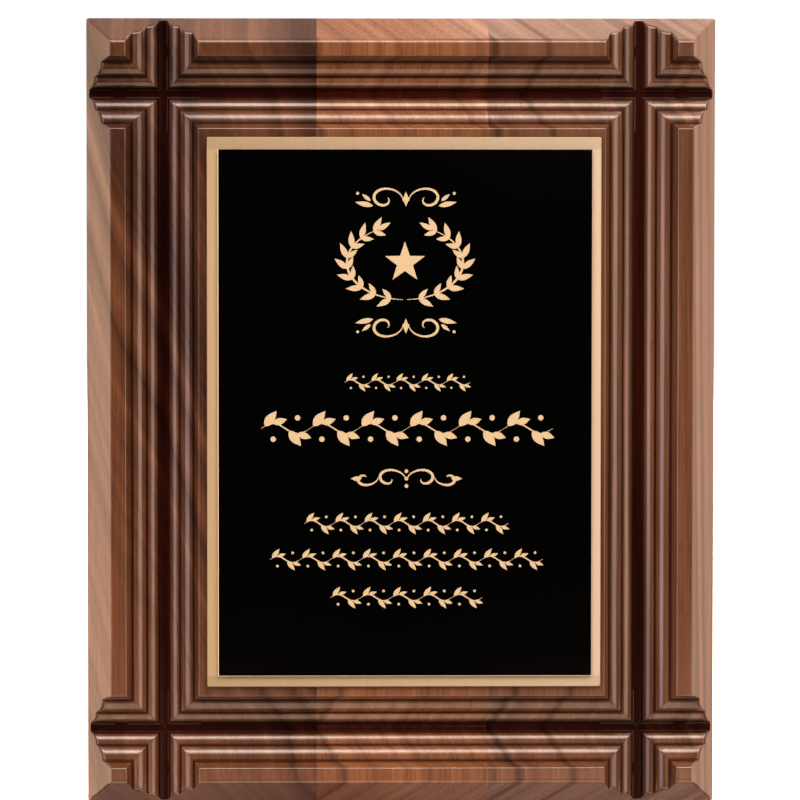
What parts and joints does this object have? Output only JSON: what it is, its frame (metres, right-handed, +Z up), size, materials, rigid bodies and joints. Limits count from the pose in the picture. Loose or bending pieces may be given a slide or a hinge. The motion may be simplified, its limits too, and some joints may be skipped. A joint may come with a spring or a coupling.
{
  "type": "wooden plaque",
  "caption": "Upright walnut award plaque with a moulded, grooved border, a brushed gold border plate under a black engraved plate, and a keyhole hanger let into the back.",
  "frame": {"origin": "the end of the keyhole's slot, in the plane of the board's back, where the shank of the wall screw rests", "axes": "+Z up, +Y out of the back and into the wall, +X to the right of someone who faces the engraved plate"},
  "size_m": [0.2032, 0.025, 0.254],
  "materials": {
    "walnut_dark": "satin lacquer over dark, flat-sawn walnut",
    "walnut_golden": "satin lacquer over golden, straight-grained walnut",
    "walnut_red": "satin lacquer over reddish, straight-grained walnut",
    "brushed_gold": "brushed along the plate's height, clear coated",
    "black_lacquer": "smooth black lacquer over brass, engraved through to the metal",
    "tape": "double-sided adhesive film, matt",
    "zinc": "bright zinc plating on steel"
  },
  "bodies": {
    "root": {"walnut_stave_left": "walnut_dark", "walnut_stave_center": "walnut_golden", "walnut_stave_right": "walnut_red", "border_tape_left": "tape", "border_tape_middle": "tape", "border_tape_right": "tape", "border_plate": "brushed_gold", "engraved_plate_adhesive": "tape", "engraved_plate": "black_lacquer", "keyhole_hanger": "zinc", "hanger_screw_upper": "zinc", "hanger_screw_lower": "zinc"}
  },
  "joints": []
}
